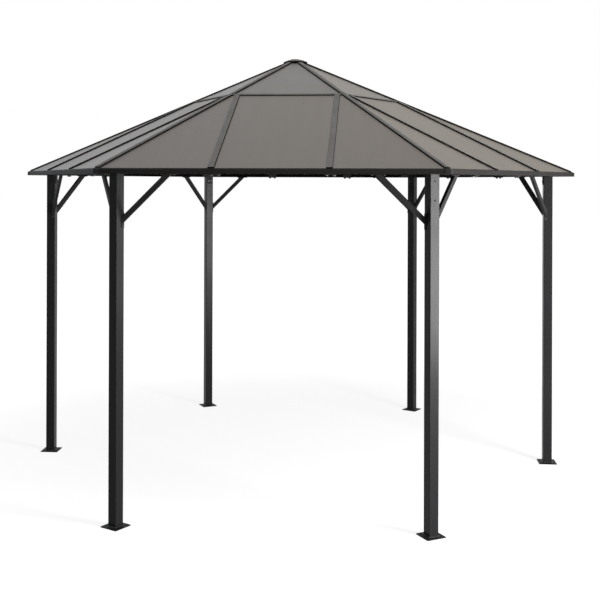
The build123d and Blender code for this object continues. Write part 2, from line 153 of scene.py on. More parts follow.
@dataclass(frozen=True)
class Layout:
    """Sizes of the gazebo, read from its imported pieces.

    Args:
        post_circle: Radius through the post centres.
        post_width: Outer width of a post.
        foot: Height of a post's foot, on its base plate.
        beam_apothem: Distance of a beam's middle line from the centre.
        beam_underside: Height of the beams' underside.
        eave_apothem: Distance of the sheets' lower edge from the centre.
        eave_height: Height of the sheets' upper surface at that edge.
        pitch: Slope of a roof face.
    """

    post_circle: float
    post_width: float
    foot: float
    beam_apothem: float
    beam_underside: float
    eave_apothem: float
    eave_height: float
    pitch: float

    @classmethod
    def read(cls) -> "Layout":
        """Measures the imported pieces.

        Returns:
            The layout of the gazebo.
        """
        post_low, post_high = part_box("post_right")
        beam_low, beam_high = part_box("ring_beam_front")
        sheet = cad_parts["roof_sheets_front"].data
        upper_faces = (face for face in sheet.polygons if face.normal.z > 0)
        widest = max(upper_faces, key=lambda face: face.area)
        edge = min(vertex.co.y for vertex in sheet.vertices)
        top = max(vertex.co.z for vertex in sheet.vertices if vertex.co.y < edge + TOLERANCE)
        return cls(
            post_circle=(post_low.x + post_high.x) / 2,
            post_width=post_high.x - post_low.x,
            foot=post_low.z,
            beam_apothem=-(beam_low.y + beam_high.y) / 2,
            beam_underside=beam_low.z,
            eave_apothem=-edge,
            eave_height=top,
            pitch=math.acos(widest.normal.z),
        )

    def eave(self, outward: Vector) -> Vector:
        """Gives the middle of the eave in that direction."""
        return outward * self.eave_apothem + RISE * self.eave_height

    def face(self, index: int) -> Seat:
        """Gives a roof face's seat on its eave: X along the eave, Y up the slope, Z out of it."""
        outward = heading_of(index + MID_SIDE)
        return facing(self.eave(outward), *slope(outward, self.pitch))

    def hip(self, index: int) -> Seat:
        """Gives a hip's seat: Y up the hip, Z square to it in its upright plane.

        Args:
            index: Number of the post under the hip, in the order of POSTS.

        Returns:
            The seat, at the corner of the eaves.
        """
        outward = heading_of(index)
        pitch = math.atan(math.tan(self.pitch) * math.cos(STEP / 2))
        corner = outward * (self.eave_apothem / math.cos(STEP / 2)) + RISE * self.eave_height
        return facing(corner, *slope(outward, pitch))

    def fascia(self, index: int) -> Seat:
        """Gives an eave's upright seat: X along the eave, Z outwards."""
        outward = heading_of(index + MID_SIDE)
        return facing(self.eave(outward), RISE, outward)

    def beam_inside(self, index: int) -> Seat:
        """Gives a beam's upright seat: X along the beam, Z to the middle of the gazebo."""
        outward = heading_of(index + MID_SIDE)
        return facing(outward * self.beam_apothem + RISE * self.beam_underside, RISE, -outward)

    def beam_underneath(self, index: int) -> Seat:
        """Gives a beam's level seat: X along the beam, Z down."""
        outward = heading_of(index + MID_SIDE)
        return facing(outward * self.beam_apothem + RISE * self.beam_underside, outward, -RISE)

    def plate(self, index: int) -> Seat:
        """Gives the level seat on a base plate under a post: Y outwards, Z up."""
        outward = heading_of(index)
        return facing(outward * self.post_circle + RISE * self.foot, outward, RISE)

    def post(self, index: int, side: PostFace = PostFace.OUTER) -> Seat:
        """Gives a seat on the ground under a post, Y up and Z towards one of the post's faces."""
        out = Matrix.Rotation(side.value * QUARTER, 3, "Z") @ heading_of(index)
        return facing(heading_of(index) * self.post_circle, RISE, out)


class Survey:
    """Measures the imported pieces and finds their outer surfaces."""

    def __init__(self) -> None:
        """Starts with no surface read."""
        self.trees: dict[str, BVHTree] = {}

    @staticmethod
    def extent(
        seat: Seat,
        node: str,
        sector: float = math.pi,
        keep: Callable[[Vector], bool] = lambda point: True,
    ) -> tuple[Vector, Vector]:
        """Measures the points of a piece that lie round one seat.

        Args:
            seat: The seat to measure in.
            node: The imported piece.
            sector: Half the angle about the Z axis that is measured.
            keep: Test of a local point.

        Returns:
            The lowest and highest local measures.
        """
        heading = math.atan2(seat.origin.y, seat.origin.x)
        points = []
        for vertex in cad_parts[node].data.vertices:
            turn = math.atan2(vertex.co.y, vertex.co.x) - heading
            point = seat.local(vertex.co)
            if abs((turn + math.pi) % (2 * math.pi) - math.pi) < sector and keep(point):
                points.append(point)
        return Vector(map(min, zip(*points))), Vector(map(max, zip(*points)))

    def rest(self, node: str, seat: Seat, across: float, up: float, reach: float = 0.1) -> Matrix:
        """Sets a fixing down on a piece, square to the surface it meets.

        Args:
            node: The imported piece.
            seat: The seat to measure in.
            across: Local X of the fixing.
            up: Local Y of the fixing.
            reach: Height above the seat from which it comes down.

        Returns:
            The fixing's placing.

        Raises:
            ValueError: If the piece doesn't reach under that point.
        """
        if node not in self.trees:
            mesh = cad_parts[node].data
            points = [vertex.co.copy() for vertex in mesh.vertices]
            faces = [tuple(face.vertices) for face in mesh.polygons]
            self.trees[node] = BVHTree.FromPolygons(points, faces)
        place, normal, *_ = self.trees[node].ray_cast(seat.point(across, up, reach), -seat.out)
        if place is None:
            raise ValueError(f"no surface of {node} under a fixing at {across:.3f}, {up:.3f}")
        along = (seat.across - normal * seat.across.dot(normal)).normalized()
        return Seat(place, along, normal.cross(along), normal).matrix()


def spaced(low: float, high: float, count: int) -> list[float]:
    """Gives that many evenly spaced values from the lowest to the highest."""
    return [low + (high - low) * step / (count - 1) for step in range(count)]


# Shader tools


def colour_socket(sockets: Iterable[Socket], name: str) -> Socket:
    """Finds the colour socket of that name on a mix node, which has one for each kind of data."""
    return next(socket for socket in sockets if socket.name == name and socket.type == "RGBA")


class Graph:
    """A node tree under construction."""

    def __init__(self, tree: bpy.types.NodeTree) -> None:
        """Starts on an empty tree."""
        self.tree = tree
        self.tree.nodes.clear()

    def feed(self, term: object, target: Socket) -> None:
        """Links an output to an input, or sets the input to a value.

        Args:
            term: The output, number, vector or colour.
            target: The input.
        """
        if isinstance(term, Socket):
            self.tree.links.new(term, target)
        elif target.type == "RGBA":
            target.default_value = (*term, 1.0)
        else:
            target.default_value = term

    def add(self, kind: str, **settings: object) -> bpy.types.Node:
        """Adds a node, sets its properties and feeds its inputs.

        Args:
            kind: The node's type, without its ShaderNode prefix.
            **settings: Values by property or, with _ for a space, by the input's name.

        Returns:
            The new node.
        """
        node = self.tree.nodes.new(kind if kind.startswith("NodeGroup") else f"ShaderNode{kind}")
        for name, value in settings.items():
            if hasattr(node, name):
                setattr(node, name, value)
            else:
                self.feed(value, node.inputs[name.replace("_", " ")])
        return node

    def math(self, operation: str, *terms: object) -> Socket:
        """Works out a sum of numbers and outputs.

        Args:
            operation: Name of the operation.
            *terms: Numbers, or outputs to link.

        Returns:
            The output with the result.
        """
        node = self.add("Math", operation=operation)
        for socket, term in zip(node.inputs, terms):
            self.feed(term, socket)
        return node.outputs[0]

    def part(self, vector: Socket, axis: str) -> Socket:
        """Takes the part of a vector along one axis."""
        return self.add("SeparateXYZ", Vector=vector).outputs[axis]

    def blend(self, factor: object, under: object, over: object, kind: str = "MIX") -> Socket:
        """Mixes two colours.

        Args:
            factor: Share of the second colour, a number or an output.
            under: The first colour, or an output.
            over: The second colour, or an output.
            kind: How they mix.

        Returns:
            The output with the mixed colour.
        """
        node = self.add("Mix", data_type="RGBA", blend_type=kind, Factor=factor)
        self.feed(under, colour_socket(node.inputs, "A"))
        self.feed(over, colour_socket(node.inputs, "B"))
        return colour_socket(node.outputs, "Result")

    def bump(self, height: Socket, strength: float, distance: float) -> Socket:
        """Turns a height into a bumped normal, where a height of one stands for the distance."""
        node = self.add("Bump", Height=height, Strength=strength, Distance=distance)
        return node.outputs["Normal"]

    def spread(self, value: Socket, source: Sequence[float], target: Sequence[float]) -> Socket:
        """Maps a value smoothly from one range to another.

        Args:
            value: The output to map.
            source: The range it comes in.
            target: The range it leaves in.

        Returns:
            The mapped output.
        """
        limits = zip(("From_Min", "From_Max", "To_Min", "To_Max"), (*source, *target))
        node = self.add("MapRange", interpolation_type="SMOOTHSTEP", Value=value, **dict(limits))
        return node.outputs["Result"]

    def noise(self, vector: Socket, scale: object, detail: float) -> Socket:
        """Adds a noise pattern, whose detail is its number of finer layers."""
        return self.add("TexNoise", Vector=vector, Scale=scale, Detail=detail).outputs["Fac"]


def shader_group(
    name: str, inputs: Sequence[str], outputs: Sequence[str]
) -> tuple[Graph, bpy.types.NodeOutputs, bpy.types.NodeInputs]:
    """Starts a shader group that reads a Vector and some numbers.

    Args:
        name: The group's name.
        inputs: Names of the numbers it reads.
        outputs: Names of the numbers it gives.

    Returns:
        The group's graph, the sockets to read from and the sockets to give to.
    """
    tree = bpy.data.node_groups.new(name, "ShaderNodeTree")
    tree.interface.new_socket(name="Vector", in_out="INPUT", socket_type="NodeSocketVector")
    for side, sockets in (("INPUT", inputs), ("OUTPUT", outputs)):
        for socket in sockets:
            tree.interface.new_socket(name=socket, in_out=side, socket_type="NodeSocketFloat")
    graph = Graph(tree)
    return graph, graph.add("NodeGroupInput").outputs, graph.add("NodeGroupOutput").inputs


class Groups:
    """The shader groups that several finishes share, each built once."""

    FINE_DETAIL = 2.0
    SLOW_DETAIL = 4.0
    SLOW_SHARE = 0.75
    NOISE_MEAN = 0.5
    # LEVEL_SPAN and the PATCH values shape the painted sheen on faces that look up
    LEVEL_SPAN = (0.5, 0.9)
    PATCH_SCALE = 5.0
    PATCH_DETAIL = 5.0
    PATCH_SPAN = (0.3, 0.75)
    STREAK_STRETCH = (1.2, 14.0, 1.2)
    STREAK_SCALE = 1.0
    STREAK_DETAIL = 3.0
    RIB_MEAN = 0.64
    RIB_SHARE = 0.35

    def __init__(self) -> None:
        """Builds the groups."""
        self.grain = self.make_grain()
        self.painted_sheen = self.make_painted_sheen()
        self.flutes = self.make_flutes()

    @classmethod
    def make_grain(cls) -> bpy.types.NodeTree:
        """Builds the fine grain and slow cloudiness of a coat or moulding.

        Returns:
            A group with a Height for bump and a Tone about one.
        """
        graph, source, target = shader_group(
            "coat_grain", ("Grain", "Cloud", "Contrast"), ("Height", "Tone")
        )
        fine = graph.noise(source["Vector"], source["Grain"], cls.FINE_DETAIL)
        slow = graph.noise(source["Vector"], source["Cloud"], cls.SLOW_DETAIL)
        graph.feed(fine, target["Height"])
        slow_part = graph.math("MULTIPLY", slow, cls.SLOW_SHARE)
        fine_part = graph.math("MULTIPLY", fine, 1.0 - cls.SLOW_SHARE)
        offset = graph.math("SUBTRACT", graph.math("ADD", slow_part, fine_part), cls.NOISE_MEAN)
        swing = graph.math("MULTIPLY", offset, source["Contrast"])
        graph.feed(graph.math("ADD", swing, 1.0), target["Tone"])
        return graph.tree

    @classmethod
    def make_painted_sheen(cls) -> bpy.types.NodeTree:
        """Builds a painted sheen: a paler tone, in patches, on faces that look up, which stands in
        for the overhead light they reflect.

        Returns:
            A group with a Mask from none to Amount.
        """
        graph, source, target = shader_group("upper_painted_sheen", ("Amount", "Least"), ("Mask",))
        # Painted sheen mask: how much a face looks up, thinned in noise patches
        upward = graph.part(graph.add("NewGeometry").outputs["Normal"], "Z")
        level = graph.spread(upward, cls.LEVEL_SPAN, NONE_TO_ALL)
        noise = graph.noise(source["Vector"], cls.PATCH_SCALE, cls.PATCH_DETAIL)
        patches = graph.spread(noise, cls.PATCH_SPAN, NONE_TO_ALL)
        span = graph.math("SUBTRACT", 1.0, source["Least"])
        thickness = graph.math("MULTIPLY_ADD", patches, span, source["Least"])
        mask = graph.math("MULTIPLY", graph.math("MULTIPLY", level, thickness), source["Amount"])
        graph.feed(mask, target["Mask"])
        return graph.tree

    @classmethod
    def make_flutes(cls) -> bpy.types.NodeTree:
        """Builds the ribs of a twin-wall sheet and the streaks along them.

        Returns:
            A group that reads coordinates with the ribs along X, with a Height and a Tone about
            one.
        """
        graph, source, target = shader_group(
            "sheet_flutes", ("Spacing", "Contrast"), ("Height", "Tone")
        )
        turns = graph.math("DIVIDE", graph.part(source["Vector"], "Y"), source["Spacing"])
        rib = graph.math("ABSOLUTE", graph.math("SINE", graph.math("MULTIPLY", turns, math.pi)))
        graph.feed(rib, target["Height"])
        stretched = graph.add("Mapping", Vector=source["Vector"], Scale=cls.STREAK_STRETCH)
        noise = graph.noise(stretched.outputs["Vector"], cls.STREAK_SCALE, cls.STREAK_DETAIL)
        streaks = graph.math("SUBTRACT", noise, cls.NOISE_MEAN)
        lines = graph.math("MULTIPLY", graph.math("SUBTRACT", rib, cls.RIB_MEAN), cls.RIB_SHARE)
        mixed = graph.math("ADD", streaks, lines)
        swing = graph.math("MULTIPLY", mixed, source["Contrast"])
        graph.feed(graph.math("ADD", swing, 1.0), target["Tone"])
        return graph.tree


# Finishes


@dataclass(frozen=True)
class Finish:
    """What all the finishes hold.

    Args:
        name: The material's name.
        colour: Linear colour.
        roughness: Mean roughness.
        shine: Specular level, where 0.5 is a plain plastic.
        painted_sheen: Most of the painted sheen, a paler tone on faces that look up that stands in
            for the light they reflect.
        painted_sheen_colour: Linear colour of the painted sheen.
        painted_sheen_least: Share of the painted sheen that is left in its thinnest patches.
        roughness_swing: How much smoother the lighter patches are.
        painted_sheen_roughness: How much rougher the faces are under the painted sheen.
    """

    name: str
    colour: Colour
    roughness: float
    shine: float
    painted_sheen: float = 0.0
    painted_sheen_colour: Colour = (0.30, 0.28, 0.25)
    painted_sheen_least: float = 0.25
    roughness_swing: float = 0.6
    painted_sheen_roughness: float = 0.3

    def start(self) -> tuple[bpy.types.Material, Graph, bpy.types.Node]:
        """Makes the material with its shader.

        Returns:
            The material, its graph and its Principled shader.
        """
        material = bpy.data.materials.new(self.name)
        material.use_nodes = True
        graph = Graph(material.node_tree)
        shader = graph.add("BsdfPrincipled", Specular_IOR_Level=self.shine)
        graph.add("OutputMaterial", Surface=shader.outputs[0])
        return material, graph, shader

    def paint(
        self,
        graph: Graph,
        shader: bpy.types.Node,
        groups: Groups,
        tone: Socket,
        vector: Socket,
        amount: Socket | None = None,
    ) -> None:
        """Feeds the colour and roughness from a tone and the painted sheen on faces that look up.

        Args:
            graph: The material's graph.
            shader: Its Principled shader.
            groups: The shared shader groups.
            tone: A tone about one.
            vector: The Object coordinates.
            amount: Most of the painted sheen, where it isn't the same all over.
        """
        grey = graph.add("CombineColor", Red=tone, Green=tone, Blue=tone)
        body = graph.blend(1.0, self.colour, grey.outputs["Color"], "MULTIPLY")
        most = self.painted_sheen if amount is None else amount
        # Painted sheen: faces that look up are blended in patches towards a paler colour that
        # stands in for the overhead light they reflect, and are made rougher there
        painted_sheen = graph.add(
            "Group", node_tree=groups.painted_sheen, Vector=vector, Amount=most, Least=self.painted_sheen_least
        )
        mask = painted_sheen.outputs["Mask"]
        graph.feed(graph.blend(mask, body, self.painted_sheen_colour), shader.inputs["Base Color"])
        swing = graph.math("MULTIPLY", graph.math("SUBTRACT", 1.0, tone), self.roughness_swing)
        sheen_roughening = graph.math("MULTIPLY", mask, self.painted_sheen_roughness)
        rough = graph.math("ADD", graph.math("ADD", swing, sheen_roughening), self.roughness)
        graph.feed(rough, shader.inputs["Roughness"])


@dataclass(frozen=True)
class Coat(Finish):
    """A powder coat, moulding or plating with a fine grain.

    Args:
        grain: Scale of the grain.
        depth: Height of the grain.
        relief: Strength of the grain's bump.
        cloud: Scale of the slow cloudiness.
        contrast: Swing of the slow cloudiness.
    """

    grain: float = 420.0
    depth: float = 0.00012
    relief: float = 0.3
    cloud: float = 3.0
    contrast: float = 0.35

    def make(self, groups: Groups) -> bpy.types.Material:
        """Builds the material.

        Args:
            groups: The shared shader groups.

        Returns:
            The material.
        """
        material, graph, shader = self.start()
        vector = graph.add("TexCoord").outputs["Object"]
        grain = graph.add(
            "Group",
            node_tree=groups.grain,
            Vector=vector,
            Grain=self.grain,
            Cloud=self.cloud,
            Contrast=self.contrast,
        )
        normal = graph.bump(grain.outputs["Height"], self.relief, self.depth)
        graph.feed(normal, shader.inputs["Normal"])
        self.paint(graph, shader, groups, grain.outputs["Tone"], vector)
        return material


@dataclass(frozen=True)
class FlutedSheet(Finish):
    """A twin-wall sheet whose ribs run up the slope of its roof face.

    Args:
        heading: Direction that the roof face looks to, about the Z axis.
        spacing: Distance between ribs.
        depth: Height of the ribs on the surface.
        relief: Strength of the ribs' bump.
        contrast: Swing of the streaks.
        upper_height: Heights between which the upper sheet takes over.
        upper_painted_sheen: Most of the painted sheen on the upper sheet, above the joint strip.
    """

    heading: float = 0.0
    spacing: float = 0.011
    depth: float = 0.00025
    relief: float = 0.4
    contrast: float = 0.12
    upper_height: tuple[float, float] = (0.0, 0.0)
    upper_painted_sheen: float = 0.44

    def make(self, groups: Groups) -> bpy.types.Material:
        """Builds the material.

        Args:
            groups: The shared shader groups.

        Returns:
            The material.
        """
        material, graph, shader = self.start()
        vector = graph.add("TexCoord").outputs["Object"]
        turned = graph.add("Mapping", Vector=vector, Rotation=(0.0, 0.0, -self.heading))
        flutes = graph.add(
            "Group",
            node_tree=groups.flutes,
            Vector=turned.outputs["Vector"],
            Spacing=self.spacing,
            Contrast=self.contrast,
        )
        normal = graph.bump(flutes.outputs["Height"], self.relief, self.depth)
        graph.feed(normal, shader.inputs["Normal"])
        # The painted sheen grows from the lower sheet's amount to the upper sheet's across the
        # joint strip, so the upper sheet is painted paler
        painted_sheens = (self.painted_sheen, self.upper_painted_sheen)
        amount = graph.spread(graph.part(vector, "Z"), self.upper_height, painted_sheens)
        self.paint(graph, shader, groups, flutes.outputs["Tone"], vector, amount)
        return material


POST_COAT = Coat("charcoal_post_coat", (0.016, 0.016, 0.017), roughness=0.28, shine=0.075)
PLATE_COAT = Coat("charcoal_plate_coat", (0.012, 0.012, 0.013), roughness=0.45, shine=0.05)
BRACE_COAT = Coat("charcoal_brace_coat", (0.026, 0.026, 0.027), roughness=0.42, shine=0.03)
# The beams' coat is a darker copy of the charcoal coat: painted shade for the shadow under the
# eaves
PAINTED_SHADE_BEAM_COAT = Coat("charcoal_beam_coat_painted_shade", (0.006, 0.006, 0.0065), roughness=0.5, shine=0.03)
RAFTER_COAT = Coat("charcoal_rafter_coat", (0.022, 0.022, 0.023), roughness=0.45, shine=0.08)
TRIM_COAT = Coat("charcoal_trim_coat", (0.016, 0.015, 0.0145), roughness=0.5, shine=0.035)
# Battens and caps: a near-black base leaves their sides as painted shade, and a strong painted
# sheen stands in for the light on their upward tops
BATTEN_COAT = Coat(
    "charcoal_batten_coat",
    (0.003, 0.003, 0.003),
    roughness=0.5,
    shine=0.06,
    painted_sheen=0.95,
    painted_sheen_colour=(0.236, 0.232, 0.222),
    painted_sheen_least=0.85,
    painted_sheen_roughness=0.1,
)
CORNER_PLASTIC = Coat(
    "corner_plastic", (0.02, 0.02, 0.02), roughness=0.5, shine=0.06, grain=900.0, depth=0.0002
)
SCREW_COAT = Coat(
    "blackened_screws", (0.03, 0.03, 0.031), roughness=0.38, shine=0.35, grain=1500.0, depth=0.00005
)
WELD_COAT = Coat(
    "coated_weld", (0.018, 0.018, 0.019), roughness=0.4, shine=0.2, grain=260.0, depth=0.0008
)
# The sheets carry a slight bluish painted sheen on faces that look up, stronger on the upper sheet
SHEET = FlutedSheet(
    "fluted_sheet",
    (0.168, 0.140, 0.119),
    roughness=0.40,
    shine=0.5,
    painted_sheen=0.05,
    painted_sheen_colour=(0.283, 0.290, 0.298),
    painted_sheen_least=0.7,
    painted_sheen_roughness=0.05,
    roughness_swing=0.5,
)


class Wardrobe:
    """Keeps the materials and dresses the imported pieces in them."""

    def __init__(self) -> None:
        """Builds the shared shader groups."""
        self.groups = Groups()
        self.made: dict[str, bpy.types.Material] = {}

    def material(self, finish: Coat | FlutedSheet) -> bpy.types.Material:
        """Gives a finish's material, made once.

        Args:
            finish: The finish.

        Returns:
            Its material.
        """
        if finish.name not in self.made:
            self.made[finish.name] = finish.make(self.groups)
        return self.made[finish.name]

    def dress(self, finish: Coat | FlutedSheet, *nodes: str) -> None:
        """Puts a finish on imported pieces.

        Args:
            finish: The finish.
            *nodes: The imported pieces' names.
        """
        for node in nodes:
            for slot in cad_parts[node].material_slots:
                slot.material = self.material(finish)
            LOG.info("dressed %s in %s", node, finish.name)


# Small fixings


class Bench:
    """The edit tools that shape a small piece."""

    EDGE_MODE = (False, True, False)
    FACE_MODE = (False, False, True)

    @classmethod
    def pick_top(cls) -> None:
        """Selects the highest level face, in edit mode."""
        bpy.ops.object.mode_set(mode="OBJECT")
        bpy.context.tool_settings.mesh_select_mode = cls.FACE_MODE
        mesh = bpy.context.object.data
        for part in (*mesh.vertices, *mesh.edges):
            part.select = False
        top = max(face.center.z for face in mesh.polygons)
        for face in mesh.polygons:
            face.select = face.center.z > top - TOLERANCE
        bpy.ops.object.mode_set(mode="EDIT")

    @staticmethod
    def raise_face(height: float, share: float = 1.0) -> None:
        """Extrudes the picked face upwards and scales it.

        Args:
            height: How far it goes.
            share: Its new size as a share of the old.
        """
        bpy.ops.mesh.extrude_region_move(TRANSFORM_OT_translate={"value": (0.0, 0.0, height)})
        bpy.ops.transform.resize(value=(share, share, 1.0))

    @staticmethod
    def done() -> bpy.types.Object:
        """Leaves edit mode with the faces turned outwards and the piece's origin at zero.

        Returns:
            The finished piece.
        """
        bpy.ops.mesh.select_all(action="SELECT")
        bpy.ops.mesh.normals_make_consistent(inside=False)
        bpy.ops.object.mode_set(mode="OBJECT")
        bpy.ops.object.transform_apply(location=True)
        return bpy.context.object


@dataclass(frozen=True)
class Fixing:
    """A small fixing, modelled once with its foot at the origin and its head along +Z.

    Args:
        finish: What it is dressed in.
    """

    finish: Coat

    def model(self) -> bpy.types.Object:
        """Models one."""
        raise NotImplementedError

    def set_out(self, name: str, slot: Slot, places: Iterable[Matrix], wardrobe: Wardrobe) -> None:
        """Copies the fixing to its places, as one piece that rides on the gazebo.

        Args:
            name: The piece's name.
            slot: The record's slot that its finish belongs to; not used.
            places: Where each copy goes.
            wardrobe: The materials.
        """
        pattern = self.model()
        bpy.ops.object.select_all(action="DESELECT")
        copies = []
        for place in places:
            mesh = pattern.data.copy()
            mesh.transform(place)
            copy = bpy.data.objects.new(name, mesh)
            bpy.context.scene.collection.objects.link(copy)
            copy.select_set(True)
            copies.append(copy)
        bpy.data.objects.remove(pattern)
        piece = copies[0]
        bpy.context.view_layer.objects.active = piece
        bpy.ops.object.join()
        bpy.ops.object.shade_smooth_by_angle(angle=SMOOTH_ANGLE)
        piece.data.materials.clear()
        piece.data.materials.append(wardrobe.material(self.finish))
        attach(piece, BODY)
        LOG.info("set out %s, %d of them", piece.name, len(copies))


@dataclass(frozen=True)
class Step:
    """A step in a turned shape, where the top face goes up or down and changes size.

    Args:
        rise: How far it goes up.
        share: Its new size as a share of the old.
        ledge: Width of the ledge that is left round it, as a share of the disc's width.
    """

    rise: float
    share: float = 1.0
    ledge: float = 0.0


@dataclass(frozen=True)
class Tier:
    """A disc on the ground plane and the steps above it.

    Args:
        width: The disc's diameter.
        height: Its height.
        sides: Number of its sides.
        steps: The steps above it.
    """

    width: float
    height: float
    sides: int
    steps: tuple[Step, ...]

    def build(self) -> None:
        """Adds the disc to the piece, or starts one with it, and raises its steps."""
        bpy.ops.mesh.primitive_cylinder_add(
            vertices=self.sides,
            radius=self.width / 2,
            depth=self.height,
            location=(0.0, 0.0, self.height / 2),
        )
        Bench.pick_top()
        for step in self.steps:
            if step.ledge:
                bpy.ops.mesh.inset(thickness=step.ledge * self.width)
            Bench.raise_face(step.rise, step.share)


@dataclass(frozen=True)
class Turned(Fixing):
    """A screw, bolt or plug that is turned from one or more discs.

    Args:
        tiers: The discs with their steps.
    """

    tiers: tuple[Tier, ...]

    def model(self) -> bpy.types.Object:
        """Builds the tiers into one piece.

        Returns:
            The fixing.
        """
        bpy.ops.object.select_all(action="DESELECT")
        for tier in self.tiers:
            tier.build()
        return Bench.done()


def flush_screw(finish: Coat, width: float = 0.009) -> Turned:
    """Gives a sunk screw whose head just shows, with a drive recess."""
    steps = (Step(rise=0.00045, share=0.86), Step(rise=-0.0006, share=0.5, ledge=0.215))
    return Turned(finish, (Tier(width, height=0.00045, sides=10, steps=steps),))


# A screw with a washer, a low domed head and a drive recess
PAN_STEPS = (
    Step(rise=0.0016, ledge=1 / 6),
    Step(rise=0.0016, share=0.62),
    Step(rise=-0.0014, share=0.5, ledge=0.31 / 3),
)
PAN_SCREW = Turned(SCREW_COAT, (Tier(width=0.015, height=0.0012, sides=8, steps=PAN_STEPS),))

# A bolt with a washer and a chamfered, dished hexagon
WASHER = Tier(width=0.022, height=0.001, sides=20, steps=(Step(rise=0.001, share=0.92),))
HEX_STEPS = (Step(rise=0.0012, share=0.84), Step(rise=-0.0006, share=0.84))
HEX_BOLT = Turned(SCREW_COAT, (WASHER, Tier(width=0.0165, height=0.0073, sides=6, steps=HEX_STEPS)))

# A moulded plug that closes an unused hole
DOME_STEPS = (Step(rise=0.0005, share=0.82), Step(rise=0.0005, share=0.5))
DOME_PLUG = Turned(POST_COAT, (Tier(width=0.014, height=0.0004, sides=12, steps=DOME_STEPS),))


@dataclass(frozen=True)
class FootWeld(Fixing):
    """A weld bead round the foot of a post.

    Args:
        post: Width of the post.
        leg: Width and height of the bead.
        belly: How far the bead bulges at half its height, as a share of its width.
        corner: Radius of the bead's corners.
        corner_steps: Number of facets round a corner.
    """

    post: float
    leg: float = 0.006
    belly: float = 0.2
    corner: float = 0.007
    corner_steps: int = 3

    def model(self) -> bpy.types.Object:
        """Tapers a low block in two steps and rounds its corners.

        Returns:
            The bead.
        """
        middle = self.post + self.leg * (1.0 + 2.0 * self.belly)
        bottom = self.post + 2.0 * self.leg
        bpy.ops.object.select_all(action="DESELECT")
        bpy.ops.mesh.primitive_cube_add(
            size=1.0, location=(0.0, 0.0, self.leg / 4), scale=(bottom, bottom, self.leg / 2)
        )
        bpy.ops.object.transform_apply(location=True, scale=True)
        Bench.pick_top()
        bpy.ops.transform.resize(value=(middle / bottom, middle / bottom, 1.0))
        Bench.raise_face(self.leg / 2, self.post / middle)
        self.pick_corners()
        bpy.ops.mesh.bevel(offset=self.corner, segments=self.corner_steps, affect="EDGES")
        return Bench.done()

    @staticmethod
    def pick_corners() -> None:
        """Selects the edges that rise at the corners."""
        bpy.ops.object.mode_set(mode="OBJECT")
        bpy.context.tool_settings.mesh_select_mode = Bench.EDGE_MODE
        mesh = bpy.context.object.data
        for part in (*mesh.vertices, *mesh.polygons):
            part.select = False
        for edge in mesh.edges:
            low, high = (mesh.vertices[index].co for index in edge.vertices)
            edge.select = abs(low.z - high.z) > TOLERANCE
        bpy.ops.object.mode_set(mode="EDIT")


# The gazebo's sub-assemblies


@dataclass(frozen=True)
class Assembly:
    """A sub-assembly of the gazebo.

    Args:
        layout: Sizes of the gazebo.
        survey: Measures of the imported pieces.
        wardrobe: The materials.
    """

    layout: Layout
    survey: Survey
    wardrobe: Wardrobe

    def dress(self) -> None:
        """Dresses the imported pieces."""
        raise NotImplementedError

    def build(self) -> None:
        """Adds the small pieces."""
        raise NotImplementedError


